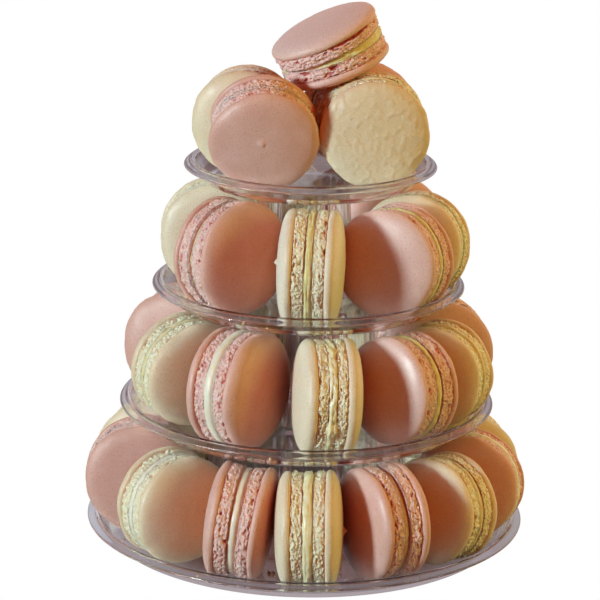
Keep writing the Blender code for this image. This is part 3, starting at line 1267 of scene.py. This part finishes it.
# How the macarons that the front shows came out, by CAD node; the rest vary at random
SEEN: dict[str, Bake] = {
    "macaron_on_top_rose": Bake(
        lip=0.240, filling=0.095, reach=0.885, cream=Cream.LEMON, cream_rough=0.9, ridges=0.6,
        overlap=0.40 * MM, pores=1.25, cream_towards=(1.6 * MM, -0.5 * MM, 0.0), dollop_at=5.0,
        dollop=3.4 * MM, open_towards=(1.0, 0.0, 0.0), open_angle=5.0,
        caves=(Cave(106.0, 0.222, 11.0 * MM, 0.75 * MM, 1.9 * MM),
               Cave(76.6, -0.091, 2.4 * MM, 1.3 * MM, 1.9 * MM),
               Cave(42.0, -0.085, 3.0 * MM, 0.8 * MM, 1.5 * MM)), gloss=0.1, tone=-0.3,
        paleness=0.5),
    "macaron_4_01_rose": Bake(filling=0.10, reach=0.90, peak=0.9 * MM, peak_at=(-0.10, -0.05),
                              gloss=0.1),
    "macaron_4_02_vanilla": Bake(lip=0.244, lumps=0.55 * MM, gloss=0.25, tone=0.5),
    "macaron_3_02_rose": Bake(lip=0.254, filling=0.11, reach=0.90, ridges=0.2, gloss=0.15),
    "macaron_3_03_vanilla": Bake(
        lip=0.245, filling=0.12, reach=0.965, peak=1.4 * MM, peak_side=-1, peak_at=(-0.05, 0.0),
        cream=Cream.LEMON, gloss=0.1, cream_rough=0.7, ridges=1.3, overlap=0.5 * MM,
        paleness=0.9,
        caves=(Cave(-157.7, 0.212, 1.3 * MM, 1.0 * MM, 1.6 * MM),
               Cave(-121.1, 0.235, 1.2 * MM, 0.8 * MM, 1.6 * MM))),
    "macaron_3_04_rose": Bake(lip=0.258, filling=0.11, cream=Cream.LEMON, gloss=0.3,
                              paleness=0.35),
    "macaron_2_02_vanilla": Bake(lip=0.218),
    "macaron_2_03_rose": Bake(lip=0.240, filling=0.150, reach=0.984, cream=Cream.WHITE,
                              cream_rough=0.0, ridges=0.0, gloss=0.25, paleness=0.1),
    "macaron_2_04_vanilla": Bake(
        lip=0.217, filling=0.12, reach=0.970, cream=Cream.PALE_LEMON, cream_rough=1.7,
        ridges=1.0, overlap=0.6 * MM, dollop_at=-70.0, dollop=1.2 * MM, gloss=0.1,
        paleness=0.4),
    "macaron_2_05_rose": Bake(lip=0.265, filling=0.12, cream=Cream.LEMON, gloss=0.8,
                              paleness=0.45),
    "macaron_1_03_vanilla": Bake(lip=0.238, filling=0.12, cream=Cream.WHITE, cream_rough=0.6),
    "macaron_1_04_rose": Bake(
        lip=0.258, filling=0.135, reach=0.93, cream=Cream.WHITE, cream_rough=0.0, ridges=0.1,
        open_towards=(0.0, 0.0, 1.0), open_angle=1.5, gloss=0.3, paleness=0.1,
        caves=(Cave(-86.0, -0.087, 0.8 * MM, 0.8 * MM),)),
    "macaron_1_05_vanilla": Bake(
        lip=0.250, filling=0.15, reach=0.985, cream=Cream.PALE_LEMON, cream_rough=0.6,
        ridges=0.9, pores=0.85, peak=1.7 * MM, peak_at=(0.05, 0.0), gloss=0.1, paleness=0.2),
    "macaron_1_06_rose": Bake(lip=0.237, filling=0.10, reach=0.90, ridges=0.2, gloss=0.75,
                              paleness=0.15),
    "macaron_1_07_vanilla": Bake(lip=0.235, filling=0.11, paleness=0.3, gloss=0.2),
}


@dataclass
class MacaronRings:
    """All the macarons of the tower, ring by ring."""
    mould: MacaronMould
    seed: int = 5
    seed_step: float = 11.3

    def build(self) -> list[bpy.types.Object]:
        """Make every macaron.

        Returns:
            The pieces, in the order of their nodes' names.
        """
        stray = random.Random(self.seed)
        pieces = []
        for number, node in enumerate(sorted(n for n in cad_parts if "macaron" in n)):
            tone = stray.uniform(-0.3, 0.3)
            chance = Bake(
                filling=stray.uniform(0.10, 0.15), reach=stray.uniform(0.93, 0.975),
                cream=stray.choice([Cream.BUTTER, Cream.WHITE]),
                cream_rough=stray.uniform(0.1, 0.8), ridges=stray.uniform(0.1, 0.9),
                pores=stray.uniform(0.8, 1.15), lumps=stray.uniform(0.12, 0.26) * MM,
                gloss=stray.uniform(0.0, 0.45))
            seen = SEEN.get(node)
            bake = replace(seen, tone=seen.tone + 0.5 * tone) if seen else replace(
                chance, tone=tone)
            shrink = 1.0 - stray.uniform(0.0, 0.025)
            pieces.append(self.mould.cast(node, bake, self.seed_step * (number + 1), shrink))
        return pieces


# ------------------------------------------------------------------------------ crumbs
@dataclass(frozen=True)
class Strip:
    """A stretch of a plate's floor that crumbs lie on."""
    plate: int
    inner: float
    outer: float
    count: int
    first_azimuth: float = -180.0
    last_azimuth: float = 180.0


@dataclass
class FallenCrumbs:
    """Small golden crumbs on the plates' floors."""
    finishes: Finishes
    strips: tuple[Strip, ...] = (
        Strip(1, 74.5 * MM, 79.0 * MM, 46), Strip(2, 61.5 * MM, 65.5 * MM, 34),
        Strip(3, 49.0 * MM, 52.5 * MM, 26), Strip(4, 36.0 * MM, 40.5 * MM, 18),
        Strip(1, 58.0 * MM, 63.0 * MM, 16, -14.5, -9.5),
    )
    smallest: float = 0.22 * MM
    largest: float = 0.62 * MM
    seed: int = 3

    def spots(self) -> bpy.types.Mesh:
        """Choose where the crumbs lie.

        Returns:
            A mesh with one loose point for each crumb, at its plate's floor.
        """
        stray = random.Random(self.seed)
        points = []
        for strip in self.strips:
            low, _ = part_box(f"plate_{strip.plate}")
            for _ in range(strip.count):
                reach = stray.uniform(strip.inner, strip.outer)
                azimuth = math.radians(stray.uniform(strip.first_azimuth, strip.last_azimuth))
                points.append((reach * math.sin(azimuth), -reach * math.cos(azimuth),
                               low.z + ClearPlate.floor_thickness))
        mesh = bpy.data.meshes.new("crumb_spots")
        mesh.from_pydata(points, [], [])
        return mesh

    def tree(self) -> ShapeTree:
        """Make the tree that sets an uneven lump on every spot.

        Returns:
            The tree.
        """
        t = ShapeTree("fallen_crumbs")
        smallest, largest, seed = t.ask("Smallest"), t.ask("Largest"), t.ask("Seed", "Int")
        finish = t.ask("Finish", "Material")
        lump = t.out("GeometryNodeMeshIcoSphere", {"Radius": 1.0, "Subdivisions": 2})
        size = t.out("FunctionNodeRandomValue", {
            "Min": smallest, "Max": largest, "Seed": seed}, 1, data_type="FLOAT")
        turn = t.out("FunctionNodeRandomValue", {
            0: (0.0, 0.0, 0.0), 1: (math.tau, math.tau, math.tau), "Seed": seed,
        }, data_type="FLOAT_VECTOR")
        shape = t.out("GeometryNodeInstanceOnPoints", {
            "Points": t.moved(t.start, t.joined(z=size * 0.8)), "Instance": lump,
            "Rotation": turn, "Scale": size})
        shape = t.out("GeometryNodeRealizeInstances", {"Geometry": shape})
        uneven = t.noise(t.place(), 0.55 * MM, 2.0, 1.0) - 0.5
        shape = t.moved(shape, t.scaled(t.normal(), uneven * (0.75 * MM)))
        shape = t.write(shape, "layer", 0.0, "FACE")
        t.finish(shape, {0.0: finish})
        return t

    def build(self) -> bpy.types.Object:
        """Make all the crumbs as one piece.

        Returns:
            The piece.
        """
        piece = self.tree().bake(
            "fallen_crumbs", self.spots(), Matrix.Identity(4), Smallest=self.smallest,
            Largest=self.largest, Seed=self.seed, Finish=self.finishes.crumbs)
        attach(piece, "root")
        return piece


# ------------------------------------------------------------------------------ light and camera
@dataclass(frozen=True)
class Lamp:
    """A rectangular lamp that faces the tower."""
    name: str
    azimuth: float
    height: float
    size: tuple[float, float]
    power: float
    colour: Colour
    lights: bool = True
    shines: bool = True
    distance: float = 2.0

    def hang(self, aim: Vector) -> bpy.types.Object:
        """Hang the lamp.

        A lamp that doesn't light is only mirrored and seen through plastic, as a window is. One
        that doesn't shine only lights, so that no coloured patch shows in the plastic.

        Args:
            aim: the place that it faces.

        Returns:
            The lamp.
        """
        data = bpy.data.lights.new(self.name, "AREA")
        data.shape = "RECTANGLE"
        data.size, data.size_y = self.size
        data.energy = self.power
        data.color = self.colour
        lamp = bpy.data.objects.new(self.name, data)
        bpy.context.scene.collection.objects.link(lamp)
        a, e = math.radians(self.azimuth), math.radians(self.height)
        way = Vector((math.sin(a) * math.cos(e), -math.cos(a) * math.cos(e), math.sin(e)))
        lamp.location = aim + way * self.distance
        lamp.rotation_euler = way.to_track_quat("Z", "Y").to_euler()
        lamp.visible_diffuse = self.lights
        lamp.visible_transmission = lamp.visible_glossy = self.shines
        return lamp


WINDOW: Colour = (0.95, 0.97, 1.0)
DAYLIGHT: Colour = (1.0, 0.96, 0.93)


@dataclass
class Studio:
    """A plain pale floor, soft light and the camera at the photograph's viewing angle."""
    aim: Vector = field(default_factory=lambda: Vector((0.0, 0.0, 0.10)))
    lamps: tuple[Lamp, ...] = (
        Lamp("low_daylight", -54.0, 14.0, (0.30, 0.30), 32.0, (0.73, 0.98, 1.0)),
        Lamp("window_left_pane", -64.0, 18.0, (0.46, 0.62), 12.0, WINDOW, lights=False),
        Lamp("window_right_pane", -45.0, 18.0, (0.26, 0.62), 7.0, WINDOW, lights=False),
        Lamp("warm_room_lamp", 72.0, 22.0, (1.0, 0.9), 14.2, (0.84, 1.0, 0.27), shines=False),
        Lamp("high_warm_lamp", 60.0, 50.0, (1.0, 0.9), 6.4, (1.0, 0.16, 0.0), shines=False),
        Lamp("side_daylight", 128.0, 24.0, (1.0, 0.9), 11.0, DAYLIGHT, shines=False),
        Lamp("back_daylight", 186.0, 14.0, (1.0, 0.9), 19.0, DAYLIGHT, shines=False),
    )
    eye_white: Colour = (1.0, 1.0, 1.0)
    sky_through: Colour = (0.62, 0.58, 0.66)
    left_through: Colour = (0.68, 0.69, 0.78)
    right_through: Colour = (0.46, 0.42, 0.41)
    painted_tower_shade: Colour = (0.12, 0.055, 0.045)
    mirrored: Colour = (0.32, 0.27, 0.29)
    mirrored_inside: Colour = (0.44, 0.38, 0.40)
    room: Colour = (0.21, 0.012, 0.002)
    room_behind: Colour = (0.30, 0.25, 0.23)
    table: Colour = (0.26, 0.17, 0.10)
    floor_half: float = 4.0
    floor_drop: float = 0.4 * MM
    camera_place: tuple[float, float, float] = (0.0, -1.1079, 0.4176)
    lens: float = 169.8
    pitch: float = 16.1
    yaw: float = -0.17
    roll: float = 1.02

    def surroundings(self, g: Graph, looked_through: Value,
                     lighting: Value) -> tuple[Field, Field]:
        """Return the colour of the surroundings for each kind of ray.

        What is looked at straight is white. What is seen through plastic, what a satin surface
        mirrors and what plastic mirrors inside its walls is dimmer, as in a lived-in room, and
        what lights the food is warm.

        Args:
            g: the tree that asks.
            looked_through: the colour that is seen through plastic.
            lighting: the colour that lights the food.

        Returns:
            The colour, and the share of rays that are seen or mirrored.
        """
        path = g.node("ShaderNodeLightPath").outputs
        first = g.math("LESS_THAN", path["Diffuse Depth"], 0.5)
        through = g.math("MULTIPLY", path["Is Transmission Ray"], first)
        gloss = g.math("MULTIPLY", path["Is Glossy Ray"], first)
        inside = g.math("MAXIMUM",
                        through * g.math("GREATER_THAN", path["Glossy Depth"], 0.5),
                        gloss * g.math("GREATER_THAN", path["Glossy Depth"], 2.5))
        colour = g.mix(gloss, lighting, self.mirrored)
        colour = g.mix(through, colour, looked_through)
        colour = g.mix(inside, colour, self.mirrored_inside)
        colour = g.mix(path["Is Camera Ray"], colour, self.eye_white)
        seen = g.math("MAXIMUM", path["Is Camera Ray"], g.math("MAXIMUM", through, gloss))
        return colour, seen

    def floor(self) -> None:
        """Lay the floor: pale to the eye, a dim warm table to what it lights."""
        mesh = bpy.data.meshes.new("floor")
        half = self.floor_half
        mesh.from_pydata([(-half, -half, 0), (half, -half, 0), (half, half, 0),
                          (-half, half, 0)], [], [(0, 1, 2, 3)])
        floor = bpy.data.objects.new("floor", mesh)
        bpy.context.scene.collection.objects.link(floor)
        floor.location.z = -self.floor_drop
        g = FinishTree("pale_floor")
        g.set(Base_Color=self.table, Roughness=0.9)
        x, y, _ = g.split(g.place)
        sides = g.mix(g.ramp(x, -0.07, 0.07), self.left_through, self.right_through)
        # painted shade: under and behind the tower, plastic shows the floor dark as in its shadow
        off = g.vector("LENGTH", g.joined(x, g.math("MINIMUM", y, 0.0)))
        behind = g.mix(g.ramp(off, 0.058, 0.098, 1.0, 0.0), sides, self.painted_tower_shade)
        colour, seen = self.surroundings(g, behind, self.table)
        g.blend(seen, g.node("ShaderNodeEmission", {"Color": colour, "Strength": 1.0}))
        mesh.materials.append(g.material)

    def sky(self) -> None:
        """Set the surroundings: pale to the eye, a dim warm room in front, plainer behind."""
        world = bpy.data.worlds.new("studio")
        bpy.context.scene.world = world
        world.use_nodes = True
        g = Graph(world.node_tree)
        back = g.tree.nodes["Background"]
        _, behind, _ = g.split(g.out("ShaderNodeTexCoord", output="Generated"))
        room = g.mix(g.ramp(behind, 0.1, 0.8), self.room, self.room_behind)
        g.feed(back.inputs["Color"], self.surroundings(g, self.sky_through, room)[0])
        g.feed(back.inputs["Strength"], 1.0)

    def camera(self) -> None:
        """Set the camera where the photograph was taken from."""
        data = bpy.data.cameras.new("camera")
        data.sensor_width = 36.0
        data.lens = self.lens
        data.clip_end = 20.0
        camera = bpy.data.objects.new("camera", data)
        bpy.context.scene.collection.objects.link(camera)
        pitch, yaw, roll = (math.radians(angle) for angle in (self.pitch, self.yaw, self.roll))
        ahead = Vector((math.sin(yaw) * math.cos(pitch), math.cos(yaw) * math.cos(pitch),
                        -math.sin(pitch)))
        right = Vector((math.cos(yaw), -math.sin(yaw), 0.0))
        up = right.cross(ahead)
        right, up = (math.cos(roll) * right + math.sin(roll) * up,
                     math.cos(roll) * up - math.sin(roll) * right)
        turn = Matrix((right, up, -ahead)).transposed()
        camera.matrix_world = Matrix.Translation(self.camera_place) @ turn.to_4x4()
        bpy.context.scene.camera = camera

    def build(self) -> None:
        """Set the floor, the surroundings, the lamps and the camera."""
        self.floor()
        self.sky()
        for lamp in self.lamps:
            lamp.hang(self.aim)
        self.camera()
        bpy.context.scene.view_settings.view_transform = "Standard"


def main() -> None:
    """Build the tower's looks piece by piece."""
    logging.basicConfig(level=logging.INFO, format="%(message)s")
    finishes = Finishes()
    plates = [
        ClearPlate(1, 90.0 * MM, 41.5 * MM, ribs=48),
        ClearPlate(2, 76.6 * MM, 28.8 * MM, ribs=40),
        ClearPlate(3, 63.5 * MM, 17.2 * MM, ribs=30),
        ClearPlate(4, 51.0 * MM, None, ribs=0),
    ]
    pieces = [plate.build(finishes) for plate in plates]
    pieces += MacaronRings(MacaronMould(finishes)).build()
    pieces.append(FallenCrumbs(finishes).build())
    for piece in pieces:
        LOG.info("%s: %d faces", piece.name, len(piece.data.polygons))
    Studio().build()


if __name__ == "__main__":
    main()
